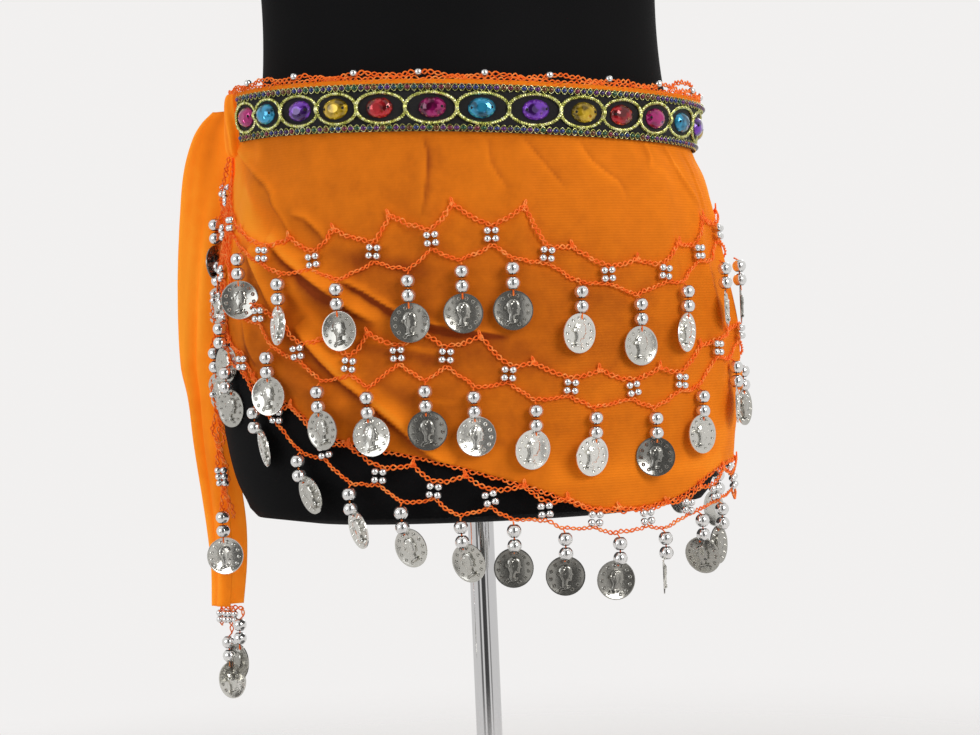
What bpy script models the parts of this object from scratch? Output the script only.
# A belly dance hip scarf tied round a limbless dress form on its stand.
#
# Metres, +Z up. The viewer stands at -Y, so +X is the viewer's right. The base's underside lies
# on Z = 0 and the pole stands on the Z axis. Heights on the form and the scarf are measured from
# the form's widest line, HIP_LEVEL. Azimuths are degrees round the Z axis from the front (0)
# through the viewer's right (90) and the back (180) to the tie at the viewer's left (270 or -90).

import bisect
import math

import bmesh
import bpy
from mathutils import Vector

HIP_LEVEL = 0.343
TIE_AZIMUTH = -90.0
SEAM_GAP = 0.0003

# The stand
POLE_RADIUS = 0.0085
HUB_TOP = 0.045
STAND_SIDES = 32
POLE_SIDES = 16

# The form: height from the hip level, half width, depth in front of the axis, depth behind it
FORM_COLUMNS = 36
FORM_SECTIONS = (
    (-0.093, 0.1120, 0.0780, 0.0800),
    (-0.091, 0.1400, 0.1000, 0.1020),
    (-0.078, 0.1540, 0.1090, 0.1120),
    (-0.054, 0.1620, 0.1130, 0.1170),
    (-0.015, 0.1665, 0.1150, 0.1205),
    (0.040, 0.1610, 0.1140, 0.1190),
    (0.090, 0.1530, 0.1100, 0.1110),
    (0.136, 0.1430, 0.1040, 0.1010),
    (0.181, 0.1325, 0.0980, 0.0930),
    (0.243, 0.1295, 0.0960, 0.0900),
    (0.310, 0.1360, 0.1030, 0.0940),
    (0.380, 0.1490, 0.1220, 0.1000),
    (0.440, 0.1580, 0.1280, 0.1030),
    (0.500, 0.1620, 0.1160, 0.1070),
    (0.560, 0.1680, 0.0980, 0.1060),
    (0.600, 0.1660, 0.0820, 0.0980),
    (0.628, 0.1420, 0.0700, 0.0840),
    (0.642, 0.1000, 0.0600, 0.0700),
    (0.655, 0.0640, 0.0530, 0.0580),
    (0.712, 0.0550, 0.0480, 0.0520),
)

# The chiffon panel's inner face: height, reach to the left, right, front and back of the axis
CLOTH_WALL = 0.0012
CLOTH_COLUMNS = 72
CLOTH_ROWS = 9
CLOTH_SECTIONS = (
    (-0.135, 0.1640, 0.1640, 0.1145, 0.1205),
    (-0.074, 0.1665, 0.1665, 0.1152, 0.1210),
    (-0.028, 0.1672, 0.1705, 0.1155, 0.1211),
    (0.018, 0.1672, 0.1705, 0.1154, 0.1211),
    (0.064, 0.1630, 0.1635, 0.1150, 0.1195),
    (0.100, 0.1575, 0.1590, 0.1130, 0.1145),
    (0.118, 0.1540, 0.1550, 0.1115, 0.1125),
    (0.138, 0.1475, 0.1475, 0.1085, 0.1085),
    (0.168, 0.1480, 0.1548, 0.1100, 0.1065),
    (0.195, 0.1475, 0.1555, 0.1100, 0.1060),
)

# Hem of the panel: azimuth, height
HEM = (
    (-90, 0.105), (-75, 0.060), (-61, 0.006), (-44, -0.016), (-31, -0.039), (-11, -0.053),
    (10, -0.072), (25, -0.088), (35, -0.090), (48, -0.085), (60, -0.074), (70, -0.067),
    (90, -0.064), (120, -0.045), (150, -0.039), (180, -0.035), (210, -0.029), (235, -0.020),
    (250, 0.010), (262, 0.065), (270, 0.105),
)

# Folds that rise from the panel: start azimuth and height, end azimuth and height, width, rise
FOLDS = (
    (-68, 0.132, -34, 0.092, 0.0085, 0.0050),
    (-67, 0.112, -44, 0.060, 0.0080, 0.0055),
    (-66, 0.088, -16, 0.024, 0.0085, 0.0055),
    (-66, 0.060, -8, -0.022, 0.0090, 0.0045),
    (-65, 0.036, -22, -0.036, 0.0085, 0.0040),
    (-10, 0.140, -8, 0.050, 0.0070, 0.0030),
    (13, 0.140, 11, 0.030, 0.0080, 0.0025),
    (36, 0.128, 30, 0.020, 0.0090, 0.0025),
    (52, 0.128, 45, -0.060, 0.0090, 0.0030),
    (64, 0.130, 66, -0.040, 0.0080, 0.0035),
    (78, 0.128, 84, -0.050, 0.0080, 0.0040),
    (248, 0.120, 205, 0.050, 0.0090, 0.0050),
    (246, 0.090, 196, -0.020, 0.0090, 0.0045),
    (244, 0.058, 206, -0.024, 0.0085, 0.0040),
)
BACK_DRAPE_AZIMUTHS = (98, 116, 139, 158, 181)
BACK_DRAPE_WIDTH = 0.0100
BACK_DRAPE_RISE = 0.0035
BACK_DRAPE_TOP = 0.125
BACK_DRAPE_END = -0.032
ARC_PER_DEGREE = 0.0026
# Degrees and height round a place in which what lies on the panel clears the folds
NEAR_TURN = 5.0
NEAR_CLIMB = 0.018

# The jewelled ribbon: azimuth, height of its top edge
BAND_TOP = (
    (-90, 0.180), (-55, 0.1795), (-14, 0.175), (33, 0.168), (76, 0.165), (120, 0.167),
    (180, 0.173), (230, 0.179), (270, 0.180),
)
BAND_HEIGHT = 0.029
BAND_WALL = 0.0014
BAND_CLEARANCE = 0.0008
BAND_START = -68.5
BAND_END = 258.0
STONE_PITCH = 0.0295
STONE_PLATE = (0.0068, 0.0046)
STONE_RISE = 0.0034
FRONT_STONES = (-62, -53, -41, -30, -19, -6, 5, 18, 30, 41, 53, 67)
CLOTH_ABOVE_BAND = 0.003
EDGE_CORD_RADIUS = 0.0015
EDGE_CORD_POINTS = 48

# Crochet trim: each row is a chain that zigzags over bead clusters and hangs pendants between
CHAIN_WIDTH = 0.0025
CHAIN_DEPTH = 0.0016
CHAIN_CLEARANCE = 0.0012
CLUSTER_HALF = 0.0045
JOINT_HALF = 0.0015
PENDANT_OUT = 0.0052
# Height under the chain, width, depth: two beads, then the four corners of the coin's rim
PENDANT_SECTIONS = (
    (0.0040, 0.0064, 0.0064),
    (0.0082, 0.0028, 0.0026),
    (0.0124, 0.0064, 0.0064),
    (0.0168, 0.0090, 0.0012),
    (0.0238, 0.0236, 0.0012),
    (0.0336, 0.0236, 0.0012),
    (0.0406, 0.0090, 0.0012),
)

# Front clusters of each row: azimuth, height, azimuth of the next peak, height of that peak
ROW_1 = (
    (-70, 0.099, -62, 0.096), (-53, 0.078, -44, 0.087), (-36, 0.070, -30, 0.088),
    (-21, 0.073, -17, 0.094), (-8, 0.079, -3, 0.101), (5, 0.080, 13, 0.098),
    (18, 0.067, 24, 0.072), (31, 0.054, 42, 0.066), (48, 0.055, 55, 0.074),
    (65, 0.068, 73, 0.093), (81, 0.079, 90, 0.096),
)
ROW_2 = (
    (-54, 0.040, -48, 0.033), (-40, 0.015, -33, 0.022), (-27, 0.005, -21, 0.020),
    (-16, 0.011, -10, 0.021), (-5, 0.008, 2, 0.017), (7, -0.004, 13, 0.005),
    (20, -0.013, 27, -0.003), (35, -0.016, 43, -0.002), (49, -0.013, 57, 0.010),
    (68, 0.006, 76, 0.0145), (85, 0.008, 93, 0.020),
)
ROW_3 = (
    (-70, 0.037, -66, 0.024), (-60, 0.009, -54, 0.000), (-46, -0.025, -42, -0.018),
    (-32, -0.049, -27, -0.043), (-20, -0.063, -12, -0.053), (-9, -0.074, -2, -0.063),
    (3, -0.079, 10, -0.071), (14, -0.087, 19, -0.081), (24, -0.095, 31, -0.088),
    (37, -0.096, 44, -0.086), (50, -0.091, 56, -0.077), (64, -0.084, 70, -0.068),
    (77, -0.080, 85, -0.066),
)
# Peak at the tie's end of each row, the low point there (azimuth, height), and what hangs on it
ROW_1_START = ((-77, 0.116), (-77, 0.092), False)
ROW_2_START = ((-63, 0.0475), (-62.5, 0.0335), False)
ROW_3_START = ((-79, 0.070), (-76, 0.034), True)
# Cluster heights behind: azimuth, row 1, row 2, row 3
BACK_LINES = (
    (75, 0.077, 0.008, -0.080), (95, 0.084, 0.009, -0.073), (120, 0.094, 0.018, -0.057),
    (150, 0.098, 0.022, -0.052), (180, 0.102, 0.026, -0.048), (210, 0.108, 0.032, -0.042),
    (235, 0.112, 0.037, -0.037), (250, 0.115, 0.042, -0.006), (262, 0.117, 0.060, 0.040),
)
BACK_PEAK_RISE = (0.020, 0.016, 0.013)
LOW_POINT_DROP = (0.0150, 0.0160, 0.0105)
BACK_PITCH = 0.036
BACK_END = (246.0, 243.0, 246.0)
# Degrees that a row runs on past its last cluster
BACK_REACH = 6.0

# Tail: height, leftmost x, x of its trimmed edge, x of its far edge, y of both edges, fold depth
TAIL_WALL = 0.0012
TAIL_FOLDS = 2.5
TAIL_DRIFT = 6.0
TAIL_COLUMNS = 12
TAIL_ROWS = 13
TAIL_SECTIONS = (
    (-0.151, -0.1815, -0.1690, -0.1615, 0.0060, 0.0260, 0.0015),
    (-0.124, -0.1820, -0.1700, -0.1605, 0.0040, 0.0290, 0.0025),
    (-0.100, -0.1850, -0.1710, -0.1590, 0.0020, 0.0310, 0.0030),
    (-0.078, -0.1890, -0.1715, -0.1610, 0.0000, 0.0330, 0.0035),
    (-0.040, -0.1920, -0.1740, -0.1655, -0.0020, 0.0340, 0.0040),
    (0.010, -0.1930, -0.1745, -0.1675, -0.0030, 0.0340, 0.0040),
    (0.060, -0.1925, -0.1715, -0.1665, -0.0030, 0.0330, 0.0040),
    (0.110, -0.1895, -0.1670, -0.1635, -0.0010, 0.0300, 0.0035),
    (0.140, -0.1865, -0.1640, -0.1600, 0.0026, 0.0260, 0.0030),
    (0.160, -0.1815, -0.1620, -0.1585, 0.0026, 0.0200, 0.0020),
    (0.172, -0.1720, -0.1600, -0.1560, 0.0030, 0.0160, 0.0010),
)
# Crochet edge of the tail: its ends, the heights its pendants hang from, and the way it faces
TAIL_TRIM_LOW = -0.092
TAIL_TRIM_HIGH = 0.128
TAIL_TRIM_HANGS = (-0.086, 0.032, 0.079, 0.115)
TAIL_TRIM_STEPS = 8
TAIL_TRIM_FACING = -18.0
# Crochet tip: x of each hanging cord, its length and what hangs on it; the strip runs slantwise
TAIL_TIP_CORDS = ((-0.1775, 0.012, True), (-0.1715, 0.018, False), (-0.1655, 0.003, True))
TAIL_TIP_Y = 0.0150
TAIL_TIP_SLANT = -0.8

KNOT_CENTRE = (-0.1609, -0.0142, 0.1490)
KNOT_RADII = (0.0135, 0.0178, 0.0240)
KNOT_SIDES = (14, 9)
KNOT_CREASES = 5
KNOT_CREASE_DEPTH = 0.10
KNOT_TWIST = 4.0


def along(table, key):
    """Values of a table at a key, on a smooth curve through its rows."""
    keys = [row[0] for row in table]
    last = len(table) - 1
    index = min(max(bisect.bisect_right(keys, key) - 1, 0), last - 1)
    start, end = table[index], table[index + 1]
    before, after = table[max(index - 1, 0)], table[min(index + 2, last)]
    span = end[0] - start[0]
    part = min(max((key - start[0]) / span, 0.0), 1.0)
    values = []
    for column in range(1, len(start)):
        slope_in = (end[column] - before[column]) / (end[0] - before[0]) * span
        slope_out = (after[column] - start[column]) / (after[0] - start[0]) * span
        rise = end[column] - start[column]
        bend = part * (1 - part) * ((slope_in - rise) * (1 - part) - (slope_out - rise) * part)
        values.append(start[column] + rise * part + bend)
    return values


def on_section(reach, azimuth):
    """Point and outward direction on a section with its reach to the left, right, front, back."""
    left, right, front, back = reach
    sine, cosine = math.sin(math.radians(azimuth)), math.cos(math.radians(azimuth))
    width = right if sine > 0 else left
    depth = front if cosine > 0 else back
    outward = Vector((sine / width, -cosine / depth, 0)).normalized()
    return Vector((width * sine, -depth * cosine, 0)), outward


def fold_lines():
    """All folds of the panel, with the soft drapes behind worked out from their azimuths."""
    drapes = [(azimuth, BACK_DRAPE_TOP, azimuth + 2, BACK_DRAPE_END, BACK_DRAPE_WIDTH,
               BACK_DRAPE_RISE) for azimuth in BACK_DRAPE_AZIMUTHS]
    return list(FOLDS) + drapes


FOLD_LINES = fold_lines()


def fold_rise(azimuth, height):
    """How far the folds lift the panel at a place."""
    total = 0.0
    for start_azimuth, start_height, end_azimuth, end_height, width, rise in FOLD_LINES:
        offset = (azimuth - start_azimuth + 180) % 360 - 180
        line = ((end_azimuth - start_azimuth) * ARC_PER_DEGREE, end_height - start_height)
        place = (offset * ARC_PER_DEGREE, height - start_height)
        part = (place[0] * line[0] + place[1] * line[1]) / (line[0] ** 2 + line[1] ** 2)
        part = min(max(part, 0.0), 1.0)
        away = math.hypot(place[0] - part * line[0], place[1] - part * line[1])
        total += rise * math.sin(math.pi * part) * math.exp(-(away / width) ** 2)
    return total


def on_cloth(azimuth, height, out, rise=None):
    """Point on the panel, moved out from its inner face."""
    if rise is None:
        rise = fold_rise(azimuth, height)
    place, outward = on_section(along(CLOTH_SECTIONS, height), azimuth)
    place += outward * (rise + out)
    place.z = HIP_LEVEL + height
    return place


def over_cloth(azimuth, height, out):
    """Point above the panel's outer face, clear of the folds next to it."""
    near = [fold_rise(azimuth + turn, height + climb)
            for turn in (-NEAR_TURN, 0, NEAR_TURN) for climb in (-NEAR_CLIMB, 0, NEAR_CLIMB)]
    return on_cloth(azimuth, height, CLOTH_WALL + out, max(near))


def degrees_of(azimuth, distance):
    """Degrees that a distance round the hips takes up at an azimuth."""
    _, right, front, _ = along(CLOTH_SECTIONS, 0.0)
    angle = math.radians(azimuth)
    return math.degrees(distance / math.hypot(right * math.cos(angle), front * math.sin(angle)))


def evenly(start, end, pitch):
    """Azimuths between two others, about a pitch apart round the hips, without the two ends."""
    steps, azimuth = [], start
    while azimuth < end:
        azimuth += degrees_of(azimuth, pitch / 20)
        steps.append(azimuth)
    count = max(round(len(steps) / 20), 2)
    return [steps[round(len(steps) * index / count) - 1] for index in range(1, count)]


def material(name, colour, roughness, metallic=0.0):
    """Principled material of one sub-part."""
    made = bpy.data.materials.new(name)
    made.use_nodes = True
    shader = made.node_tree.nodes["Principled BSDF"]
    shader.inputs["Base Color"].default_value = (*colour, 1)
    shader.inputs["Roughness"].default_value = roughness
    shader.inputs["Metallic"].default_value = metallic
    return made


def add_object(name, mesh, finish, collection):
    """Named object with its material in the part's collection."""
    mesh.materials.append(finish)
    mesh.shade_smooth()
    mesh.set_sharp_from_angle(angle=math.radians(40))
    made = bpy.data.objects.new(name, mesh)
    collection.objects.link(made)
    return made


def mesh_from(bm, name):
    """Mesh from finished bmesh data."""
    mesh = bpy.data.meshes.new(name)
    bm.to_mesh(mesh)
    bm.free()
    return mesh


def loft(bm, rings, closed):
    """Faces between rings of vertices, each ring seen from outside runs to the right."""
    for upper, lower in zip(rings, rings[1:]):
        count = len(upper)
        for index in range(count if closed else count - 1):
            after = (index + 1) % count
            bm.faces.new((lower[index], lower[after], upper[after], upper[index]))


def wall(name, outer_rows, inner_rows, closed):
    """Cloth wall between an outer and an inner grid of points, rows from top to bottom."""
    bm = bmesh.new()
    outer = [[bm.verts.new(point) for point in row] for row in outer_rows]
    inner = [[bm.verts.new(point) for point in row] for row in inner_rows]
    loft(bm, outer, closed)
    loft(bm, [row[::-1] for row in inner], closed)
    loft(bm, (inner[0], outer[0]), closed)
    loft(bm, (outer[-1], inner[-1]), closed)
    if not closed:
        for side, flip in ((0, False), (-1, True)):
            outer_side, inner_side = [row[side] for row in outer], [row[side] for row in inner]
            for index in range(len(outer) - 1):
                corners = [inner_side[index + 1], outer_side[index + 1],
                           outer_side[index], inner_side[index]]
                bm.faces.new(corners[::-1] if flip else corners)
    return mesh_from(bm, name)


def make_base():
    """Profile of the round weighted foot and of the collar that holds the pole."""
    profile = ((0, HUB_TOP), (0.016, HUB_TOP), (0.018, 0.020), (0.034, 0.013),
               (0.146, 0.009), (0.150, 0.006), (0.150, 0), (0, 0))
    mesh = bpy.data.meshes.new("stand_base")
    mesh.from_pydata([(x, 0, z) for x, z in profile],
                     [(index, index + 1) for index in range(len(profile) - 1)], [])
    return mesh


def turn_profile(made):
    """Turns an object's profile round the Z axis."""
    screw = made.modifiers.new("turned", "SCREW")
    screw.steps = screw.render_steps = STAND_SIDES
    screw.use_merge_vertices = True
    screw.merge_threshold = 0.0001
    screw.use_smooth_shade = False


def make_pole():
    """Chromed tube between the foot's collar and the form's underside."""
    bottom = HUB_TOP + SEAM_GAP
    top = HIP_LEVEL + FORM_SECTIONS[0][0] - SEAM_GAP
    bm = bmesh.new()
    bmesh.ops.create_cone(bm, cap_ends=True, segments=POLE_SIDES, radius1=POLE_RADIUS,
                          radius2=POLE_RADIUS, depth=top - bottom)
    bmesh.ops.translate(bm, verts=bm.verts, vec=(0, 0, (top + bottom) / 2))
    return mesh_from(bm, "stand_pole")


def make_form():
    """Limbless form, lofted through its sections and closed flat below and at the neck."""
    bm = bmesh.new()
    rings = []
    for height, width, front, back in reversed(FORM_SECTIONS):
        ring = []
        for column in range(FORM_COLUMNS):
            azimuth = TIE_AZIMUTH + 360 * column / FORM_COLUMNS
            place, _ = on_section((width, width, front, back), azimuth)
            ring.append(bm.verts.new((place.x, place.y, HIP_LEVEL + height)))
        rings.append(ring)
    loft(bm, rings, closed=True)
    bm.faces.new(rings[0])
    bm.faces.new(rings[-1][::-1])
    return mesh_from(bm, "form_torso")


def make_wrap():
    """Chiffon panel round the hips: flat behind the ribbon, then down to the slanting hem."""
    outer, inner = [], []
    for row in range(-1, CLOTH_ROWS):
        outer_row, inner_row = [], []
        for column in range(CLOTH_COLUMNS):
            azimuth = TIE_AZIMUTH + 360 * column / CLOTH_COLUMNS
            height = along(BAND_TOP, azimuth)[0] + CLOTH_ABOVE_BAND
            if row >= 0:
                start = along(BAND_TOP, azimuth)[0] - BAND_HEIGHT
                height = start + (along(HEM, azimuth)[0] - start) * row / (CLOTH_ROWS - 1)
            outer_row.append(on_cloth(azimuth, height, CLOTH_WALL))
            inner_row.append(on_cloth(azimuth, height, 0.0))
        outer.append(outer_row)
        inner.append(inner_row)
    return wall("wrap", outer, inner, closed=True)


def stone_azimuths():
    """Azimuths of the stones along the ribbon, which ends half a pitch past the last one."""
    end = BAND_END + degrees_of(BAND_END, STONE_PITCH / 2)
    return list(FRONT_STONES) + evenly(FRONT_STONES[-1], end, STONE_PITCH)


def on_band(azimuth, drop, out):
    """Point on the flat stretch of the panel behind the ribbon, moved out from its outer face."""
    top = along(BAND_TOP, azimuth)[0]
    upper = on_cloth(azimuth, top + CLOTH_ABOVE_BAND, CLOTH_WALL + out)
    lower = on_cloth(azimuth, top - BAND_HEIGHT, CLOTH_WALL + out)
    return upper.lerp(lower, (drop + CLOTH_ABOVE_BAND) / (BAND_HEIGHT + CLOTH_ABOVE_BAND))


def make_band():
    """Ribbon with a raised stone in each of its cells, over a plain inside."""
    stones = stone_azimuths()
    bounds = [BAND_START] + [(one + two) / 2 for one, two in zip(stones, stones[1:])] + [BAND_END]
    columns = []
    for stone, start in zip(stones, bounds):
        half = degrees_of(stone, STONE_PLATE[0])
        columns += [(start, False), (stone - half, True), (stone + half, True)]
    columns.append((bounds[-1], False))
    middle = BAND_HEIGHT / 2
    drops = (0.0, middle - STONE_PLATE[1], middle + STONE_PLATE[1], BAND_HEIGHT)
    outer, inner = [], []
    for row, drop in enumerate(drops):
        outer_row, inner_row = [], []
        for azimuth, on_stone in columns:
            raised = STONE_RISE if on_stone and row in (1, 2) else 0.0
            outer_row.append(on_band(azimuth, drop, BAND_CLEARANCE + BAND_WALL + raised))
            inner_row.append(on_band(azimuth, drop, BAND_CLEARANCE))
        outer.append(outer_row)
        inner.append(inner_row)
    return wall("jewel_band", outer, inner, closed=False)


def make_edge_cord(collection, finish):
    """Crochet cord that lies along the panel's top edge."""
    curve = bpy.data.curves.new("edge_cord", "CURVE")
    curve.dimensions = "3D"
    curve.bevel_depth = EDGE_CORD_RADIUS
    curve.bevel_resolution = 0
    spline = curve.splines.new("POLY")
    spline.points.add(EDGE_CORD_POINTS - 1)
    for index, point in enumerate(spline.points):
        azimuth = TIE_AZIMUTH + 360 * index / EDGE_CORD_POINTS
        height = along(BAND_TOP, azimuth)[0] + CLOTH_ABOVE_BAND + SEAM_GAP + EDGE_CORD_RADIUS
        point.co = (*on_cloth(azimuth, height, CLOTH_WALL / 2, 0.0), 1)
    spline.use_cyclic_u = True
    curve.materials.append(finish)
    collection.objects.link(bpy.data.objects.new("edge_cord", curve))


class Net:
    """Flat crochet net with hanging pendants, drawn as quads and given its depth at the end."""

    def __init__(self, place):
        self.place = place
        self.nodes = []
        self.quads = []
        self.roots = set()

    def node(self, across, height):
        """Adds a corner and returns its number."""
        self.nodes.append((across, height))
        return len(self.nodes) - 1

    def quad(self, lower_left, lower_right, upper_right, upper_left):
        """Adds a stretch of chain or a cluster, its corners counted from outside."""
        self.quads.append((lower_left, lower_right, upper_right, upper_left))

    def pendant(self, left, right):
        """Marks a lower edge that a pendant hangs from."""
        self.roots.add((left, right))

    def hang(self, bm, ring, left, right):
        """Extrudes the beads and the coin down from an edge of the net."""
        across = (self.nodes[left][0] + self.nodes[right][0]) / 2
        height = (self.nodes[left][1] + self.nodes[right][1]) / 2
        start = self.place(across, height, CHAIN_CLEARANCE)
        outward = self.place(across, height, 1.0) - start
        outward = Vector((outward.x, outward.y, 0)).normalized()
        sideways = Vector((0, 0, 1)).cross(outward)
        reach = 0.0
        for drop, width, depth in PENDANT_SECTIONS:
            hung = self.place(across, height - drop, PENDANT_OUT)
            reach = max(reach, (hung - start).dot(outward))
            middle = start + outward * reach
            middle.z = start.z - drop
            corners = [middle + sideways * width / 2 * side + outward * depth / 2 * front
                       for side, front in ((1, 1), (-1, 1), (-1, -1), (1, -1))]
            lower = [bm.verts.new(corner) for corner in corners]
            for index in range(4):
                after = (index + 1) % 4
                bm.faces.new((ring[index], ring[after], lower[after], lower[index]))
            ring = lower
        bm.faces.new(ring)

    def mesh(self, name):
        """Closed mesh of the net and its pendants."""
        bm = bmesh.new()
        back = [bm.verts.new(self.place(*node, CHAIN_CLEARANCE)) for node in self.nodes]
        front = [bm.verts.new(self.place(*node, CHAIN_CLEARANCE + CHAIN_DEPTH))
                 for node in self.nodes]
        edges = set()
        for quad in self.quads:
            bm.faces.new([front[corner] for corner in quad])
            bm.faces.new([back[corner] for corner in reversed(quad)])
            edges.update(zip(quad, quad[1:] + quad[:1]))
        for left, right in sorted(edges):
            if (right, left) in edges:
                continue
            rim = [front[right], front[left], back[left], back[right]]
            if (left, right) in self.roots:
                self.hang(bm, rim, left, right)
            else:
                bm.faces.new(rim)
        return mesh_from(bm, name)


def trim_row(name, peaks, clusters, lows, hang_first):
    """One row of trim: chain from peak to peak over the clusters, and one below through the lows."""
    net = Net(over_cloth)

    def upright(azimuth, height):
        return net.node(azimuth, height), net.node(azimuth, height + CHAIN_WIDTH)

    def joint(azimuth, height):
        half = degrees_of(azimuth, JOINT_HALF)
        left, right = upright(azimuth - half, height), upright(azimuth + half, height)
        net.quad(left[0], right[0], right[1], left[1])
        net.pendant(left[0], right[0])
        return left, right

    peak = upright(*peaks[0])
    low = joint(*lows[0])[1] if hang_first else upright(*lows[0])
    for index, (azimuth, height) in enumerate(clusters):
        half = degrees_of(azimuth, CLUSTER_HALF)
        low_left, low_right = azimuth - half, azimuth + half
        bottom, top = height - CLUSTER_HALF, height + CLUSTER_HALF
        corner = [net.node(low_left, bottom), net.node(low_right, bottom),
                  net.node(low_right, top), net.node(low_left, top)]
        net.quad(*corner)
        over = (net.node(low_left, top + CHAIN_WIDTH), net.node(low_right, top + CHAIN_WIDTH))
        under = (net.node(low_left, bottom - CHAIN_WIDTH),
                 net.node(low_right, bottom - CHAIN_WIDTH))
        net.quad(corner[3], corner[2], over[1], over[0])
        net.quad(under[0], under[1], corner[1], corner[0])
        net.quad(peak[0], corner[3], over[0], peak[1])
        net.quad(low[0], under[0], corner[0], low[1])
        peak = upright(*peaks[index + 1])
        net.quad(corner[2], peak[0], peak[1], over[1])
        left, right = joint(*lows[index + 1])
        net.quad(under[1], left[0], left[1], corner[1])
        low = right
    return net.mesh(name)


def low_points(clusters, drop):
    """Low points midway between clusters: azimuth, height of the lower chain's underside."""
    return [((one[0] + two[0]) / 2, (one[1] + two[1]) / 2 - drop)
            for one, two in zip(clusters, clusters[1:])]


def make_row(number, table, start):
    """Front and back nets of one row."""
    front = [row[:2] for row in table]
    front_peaks = [start[0]] + [row[2:] for row in table]
    last_peak = front_peaks[-1][0]
    azimuths = evenly(front[-1][0], BACK_END[number], BACK_PITCH)
    back = [(azimuth, along(BACK_LINES, azimuth)[number]) for azimuth in azimuths]
    drop = LOW_POINT_DROP[number]
    between = low_points(front + back, drop)
    front_lows = [start[1]] + between[:len(front)]
    rise = BACK_PEAK_RISE[number]
    back_peaks = [((one[0] + two[0]) / 2, (one[1] + two[1]) / 2 + rise)
                  for one, two in zip(back, back[1:])]
    gap = degrees_of(last_peak, SEAM_GAP * 2)
    first = (last_peak + gap, front_peaks[-1][1])
    end = (back[-1][0] + BACK_REACH, back[-1][1] + rise)
    hung = front_lows[-1]
    clear = degrees_of(hung[0], JOINT_HALF + SEAM_GAP * 2)
    back_lows = [(hung[0] + clear, hung[1])] + between[len(front):]
    back_lows.append((back[-1][0] + BACK_REACH, back[-1][1] - drop))
    halves = (("front", front_peaks, front, front_lows, start[2]),
              ("back", [first] + back_peaks + [end], back, back_lows, False))
    for side, peaks, clusters, lows, hang_first in halves:
        name = "row%d_%s" % (number + 1, side)
        yield name, trim_row(name, peaks, clusters, lows, hang_first)


def make_knot():
    """Tie at the hip: a pulled-in lump of cloth with creases, kept clear of the panel."""
    bm = bmesh.new()
    bmesh.ops.create_uvsphere(bm, u_segments=KNOT_SIDES[0], v_segments=KNOT_SIDES[1], radius=1)
    for vert in bm.verts:
        turn = math.atan2(vert.co.y, vert.co.x)
        wave = math.sin((KNOT_CREASES * turn + KNOT_TWIST * vert.co.z) / 2)
        crease = 1 - KNOT_CREASE_DEPTH * abs(wave)
        vert.co = Vector([centre + radius * crease * value for centre, radius, value
                          in zip(KNOT_CENTRE, KNOT_RADII, vert.co)])
        vert.co.z += HIP_LEVEL
    return mesh_from(bm, "knot")


def make_tail():
    """Long end of the scarf: a hooked sheet that hangs in loose pleats beside the hip."""
    low, high = TAIL_SECTIONS[0][0], TAIL_SECTIONS[-1][0]
    outer, inner = [], []
    for row in range(TAIL_ROWS + 1):
        height = high + (low - high) * row / TAIL_ROWS
        outer_row, inner_row = [], []
        for column in range(TAIL_COLUMNS + 1):
            place, outward = on_tail(height, column / TAIL_COLUMNS)
            outer_row.append(place + outward * TAIL_WALL / 2)
            inner_row.append(place - outward * TAIL_WALL / 2)
        outer.append(outer_row[::-1])
        inner.append(inner_row[::-1])
    return wall("tail", outer, inner, closed=False)


def on_tail(height, part):
    """Point on the tail and its outward direction, from its trimmed edge (0) to the other (1)."""
    left, edge, right, front, back, fold = along(TAIL_SECTIONS, height)
    bulge = (edge + right) / 2 - left

    def path(share):
        return Vector((edge + (right - edge) * share - bulge * math.sin(math.pi * share),
                       front + (back - front) * share, HIP_LEVEL + height))

    step = 0.5 / TAIL_COLUMNS
    forward = (path(part + step) - path(part - step)).normalized()
    outward = Vector((-forward.y, forward.x, 0))
    pleat = math.sin(2 * math.pi * TAIL_FOLDS * part + TAIL_DRIFT * height) * math.sin(math.pi * part)
    return path(part) + outward * fold * pleat, outward


def make_tail_trim():
    """Crochet edge of the tail with the pendants that hang in front of it."""
    facing = math.radians(TAIL_TRIM_FACING)
    outward = Vector((math.sin(facing), -math.cos(facing), 0))
    sideways = Vector((0, 0, 1)).cross(outward)

    def place(across, height, out):
        return on_tail(height, 0.0)[0] + sideways * across + outward * out

    span = TAIL_TRIM_HIGH - TAIL_TRIM_LOW
    heights = {TAIL_TRIM_LOW + span * step / TAIL_TRIM_STEPS
               for step in range(TAIL_TRIM_STEPS + 1)}
    for hang in TAIL_TRIM_HANGS:
        heights = {height for height in heights if abs(height - hang) > 2 * CHAIN_WIDTH}
        heights |= {hang, hang + CHAIN_WIDTH}
    net = Net(place)
    half = CHAIN_WIDTH / 2
    levels = [(height, net.node(-half, height), net.node(half, height))
              for height in sorted(heights)]
    for (low, low_left, low_right), (high, high_left, high_right) in zip(levels, levels[1:]):
        net.quad(low_left, low_right, high_right, high_left)
        if low in TAIL_TRIM_HANGS:
            arm = -half - 2 * JOINT_HALF
            arm_low, arm_high = net.node(arm, low), net.node(arm, high)
            net.quad(arm_low, low_left, high_left, arm_high)
            net.pendant(arm_low, low_left)
    return net.mesh("tail_trim")


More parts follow.
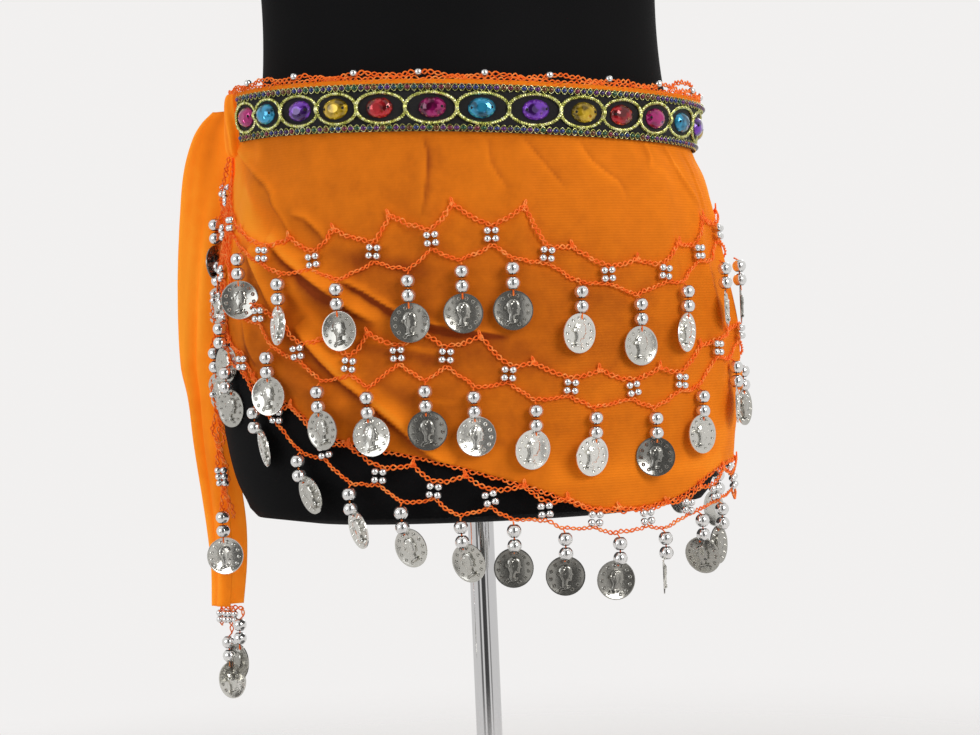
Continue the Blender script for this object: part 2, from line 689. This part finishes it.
def make_tail_tip():
    """Crochet tip under the tail with its last pendants."""
    centre = TAIL_TIP_CORDS[1][0]

    def place(across, height, out):
        return Vector((across, TAIL_TIP_Y + TAIL_TIP_SLANT * (across - centre) - out,
                       HIP_LEVEL + height))

    net = Net(place)
    top = TAIL_SECTIONS[0][0] - SEAM_GAP
    base = top - CHAIN_WIDTH
    before = None
    for middle, length, hangs in TAIL_TIP_CORDS:
        left, right = [(net.node(x, base - length), net.node(x, base), net.node(x, top))
                       for x in (middle - JOINT_HALF, middle + JOINT_HALF)]
        net.quad(left[0], right[0], right[1], left[1])
        net.quad(left[1], right[1], right[2], left[2])
        if before:
            net.quad(before[1], left[1], left[2], before[2])
        if hangs:
            net.pendant(left[0], right[0])
        before = right
    return net.mesh("tail_tip")


def main():
    for leftover in list(bpy.data.objects):
        bpy.data.objects.remove(leftover)
    collection = bpy.data.collections.new("hip_scarf_on_form")
    bpy.context.scene.collection.children.link(collection)

    jersey = material("black_jersey", (0.010, 0.010, 0.012), 0.85)
    chrome = material("chrome", (0.75, 0.75, 0.76), 0.12, 1.0)
    steel = material("painted_steel", (0.03, 0.03, 0.032), 0.45)
    chiffon = material("orange_chiffon", (0.82, 0.21, 0.012), 0.60)
    velvet = material("black_velvet", (0.015, 0.013, 0.014), 0.80)
    crochet = material("orange_crochet", (0.85, 0.12, 0.02), 0.70)

    base = add_object("stand_base", make_base(), steel, collection)
    turn_profile(base)
    add_object("stand_pole", make_pole(), chrome, collection)
    add_object("form_torso", make_form(), jersey, collection)
    add_object("wrap", make_wrap(), chiffon, collection)
    add_object("jewel_band", make_band(), velvet, collection)
    make_edge_cord(collection, crochet)
    rows = ((ROW_1, ROW_1_START), (ROW_2, ROW_2_START), (ROW_3, ROW_3_START))
    for number, (table, start) in enumerate(rows):
        for name, mesh in make_row(number, table, start):
            add_object(name, mesh, crochet, collection)
    add_object("knot", make_knot(), chiffon, collection)
    add_object("tail", make_tail(), chiffon, collection)
    add_object("tail_trim", make_tail_trim(), crochet, collection)
    add_object("tail_tip", make_tail_tip(), crochet, collection)


main()
